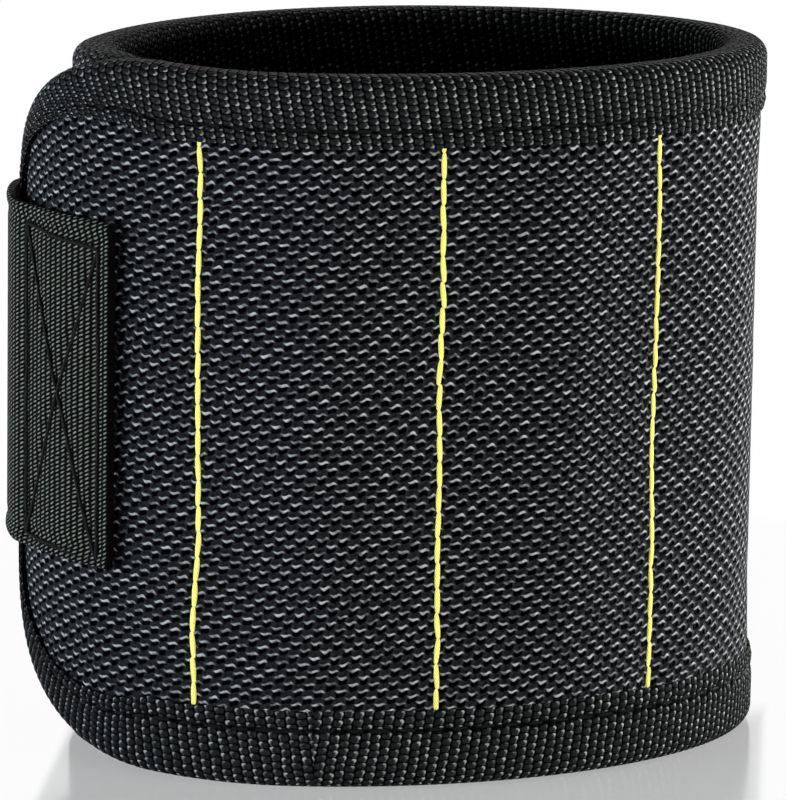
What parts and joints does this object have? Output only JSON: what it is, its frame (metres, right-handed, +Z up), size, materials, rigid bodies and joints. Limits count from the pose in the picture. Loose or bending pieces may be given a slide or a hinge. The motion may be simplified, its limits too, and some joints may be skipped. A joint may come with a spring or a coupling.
{
  "type": "magnetic wristband",
  "caption": "Padded cloth wristband that wraps into an oval loop, with disc magnets in sewn pockets to hold small steel parts, and a webbing strap with hook-and-loop closure.",
  "frame": {"origin": "on the ground, under the middle of the bounding box, with the closed band standing on its lower bound edge", "axes": "+Z up through the wrist opening, +X along the long side of the oval, -Y towards the magnet pockets at the front; the strap end is at -X"},
  "size_m": [0.0992, 0.0722, 0.0907],
  "materials": {
    "ballistic_nylon": "black ballistic nylon, basket weave",
    "padded_lining": "black padded spacer mesh",
    "binding_tape": "black woven binding tape, folded over the edge",
    "webbing": "black ribbed webbing",
    "loop_pile": "black brushed loop pile",
    "hook_tape": "black moulded hook tape",
    "magnet": "nickel-plated disc magnet"
  },
  "bodies": {
    "tongue": {"cover_tongue": "ballistic_nylon", "pad_tongue": "padded_lining", "binding_tongue": "binding_tape", "strap_base": "webbing"},
    "pocket_1": {"cover_pocket_1": "ballistic_nylon", "pad_pocket_1": "padded_lining", "top_binding_pocket_1": "binding_tape", "bottom_binding_pocket_1": "binding_tape", "magnet_pocket_1_row_1": "magnet", "magnet_pocket_1_row_2": "magnet", "magnet_pocket_1_row_3": "magnet"},
    "pocket_2": {"cover_pocket_2": "ballistic_nylon", "pad_pocket_2": "padded_lining", "top_binding_pocket_2": "binding_tape", "bottom_binding_pocket_2": "binding_tape", "magnet_pocket_2_row_1": "magnet", "magnet_pocket_2_row_2": "magnet", "magnet_pocket_2_row_3": "magnet"},
    "pocket_3": {"cover_pocket_3": "ballistic_nylon", "pad_pocket_3": "padded_lining", "top_binding_pocket_3": "binding_tape", "bottom_binding_pocket_3": "binding_tape", "magnet_pocket_3_row_1": "magnet", "magnet_pocket_3_row_2": "magnet", "magnet_pocket_3_row_3": "magnet"},
    "pocket_4": {"cover_pocket_4": "ballistic_nylon", "pad_pocket_4": "padded_lining", "top_binding_pocket_4": "binding_tape", "bottom_binding_pocket_4": "binding_tape", "magnet_pocket_4_row_1": "magnet", "magnet_pocket_4_row_2": "magnet", "magnet_pocket_4_row_3": "magnet"},
    "pocket_5": {"cover_pocket_5": "ballistic_nylon", "pad_pocket_5": "padded_lining", "top_binding_pocket_5": "binding_tape", "bottom_binding_pocket_5": "binding_tape", "magnet_pocket_5_row_1": "magnet", "magnet_pocket_5_row_2": "magnet", "magnet_pocket_5_row_3": "magnet"},
    "landing_1": {"cover_landing_1": "ballistic_nylon", "pad_landing_1": "padded_lining", "top_binding_landing_1": "binding_tape", "bottom_binding_landing_1": "binding_tape", "loop_patch_landing_1": "loop_pile"},
    "landing_2": {"cover_landing_2": "ballistic_nylon", "pad_landing_2": "padded_lining", "top_binding_landing_2": "binding_tape", "bottom_binding_landing_2": "binding_tape", "loop_patch_landing_2": "loop_pile"},
    "tail": {"cover_tail": "ballistic_nylon", "pad_tail": "padded_lining", "binding_tail": "binding_tape", "loop_patch_tail": "loop_pile"},
    "strap_web": {"strap_web": "webbing"},
    "strap_end": {"strap_end": "webbing", "hook_patch": "hook_tape"}
  },
  "joints": [
    {"name": "fold_tongue", "type": "hinge", "parent": "pocket_1", "child": "tongue", "pos_m": [-0.03293, -0.02678, 0.045], "axis": [0, 0, 1], "range_deg": [0, 49.5]},
    {"name": "fold_pocket_1_2", "type": "hinge", "parent": "pocket_2", "child": "pocket_1", "pos_m": [-0.00334, -0.03613, 0.045], "axis": [0, 0, 1], "range_deg": [0, 24.4]},
    {"name": "fold_pocket_2_3", "type": "hinge", "parent": "pocket_3", "child": "pocket_2", "pos_m": [0.02721, -0.03068, 0.045], "axis": [0, 0, 1], "range_deg": [0, 28.7]},
    {"name": "band_open", "type": "hinge", "parent": "pocket_3", "child": "pocket_4", "pos_m": [0.04864, -0.00856, 0.045], "axis": [0, 0, -1], "range_deg": [0, 49.56]},
    {"name": "fold_pocket_4_5", "type": "hinge", "parent": "pocket_4", "child": "pocket_5", "pos_m": [0.03949, 0.02034, 0.045], "axis": [0, 0, -1], "range_deg": [0, 38.6]},
    {"name": "fold_landing_1", "type": "hinge", "parent": "pocket_5", "child": "landing_1", "pos_m": [0.01123, 0.03309, 0.045], "axis": [0, 0, -1], "range_deg": [0, 28.8]},
    {"name": "fold_landing_2", "type": "hinge", "parent": "landing_1", "child": "landing_2", "pos_m": [-0.0203, 0.02672, 0.045], "axis": [0, 0, -1], "range_deg": [0, 24]},
    {"name": "fold_tail", "type": "hinge", "parent": "landing_2", "child": "tail", "pos_m": [-0.04155, 0.00224, 0.045], "axis": [0, 0, -1], "range_deg": [0, 29.6]},
    {"name": "strap_lift", "type": "hinge", "parent": "tongue", "child": "strap_web", "pos_m": [-0.04759, 0.00944, 0.045], "axis": [0, 0, 1], "range_deg": [0, 161]},
    {"name": "strap_peel", "type": "hinge", "parent": "strap_web", "child": "strap_end", "pos_m": [-0.03013, 0.02321, 0.045], "axis": [0, 0, 1], "range_deg": [0, 90]}
  ],
  "couplings": [
    {"joint": "fold_tongue", "follows": "band_open", "ratio": 0.9964},
    {"joint": "fold_pocket_1_2", "follows": "band_open", "ratio": 0.4901},
    {"joint": "fold_pocket_2_3", "follows": "band_open", "ratio": 0.5756},
    {"joint": "fold_pocket_4_5", "follows": "band_open", "ratio": 0.7756},
    {"joint": "fold_landing_1", "follows": "band_open", "ratio": 0.5789},
    {"joint": "fold_landing_2", "follows": "band_open", "ratio": 0.4814},
    {"joint": "fold_tail", "follows": "band_open", "ratio": 0.5942},
    {"joint": "strap_lift", "follows": "band_open", "ratio": 3.2284}
  ]
}
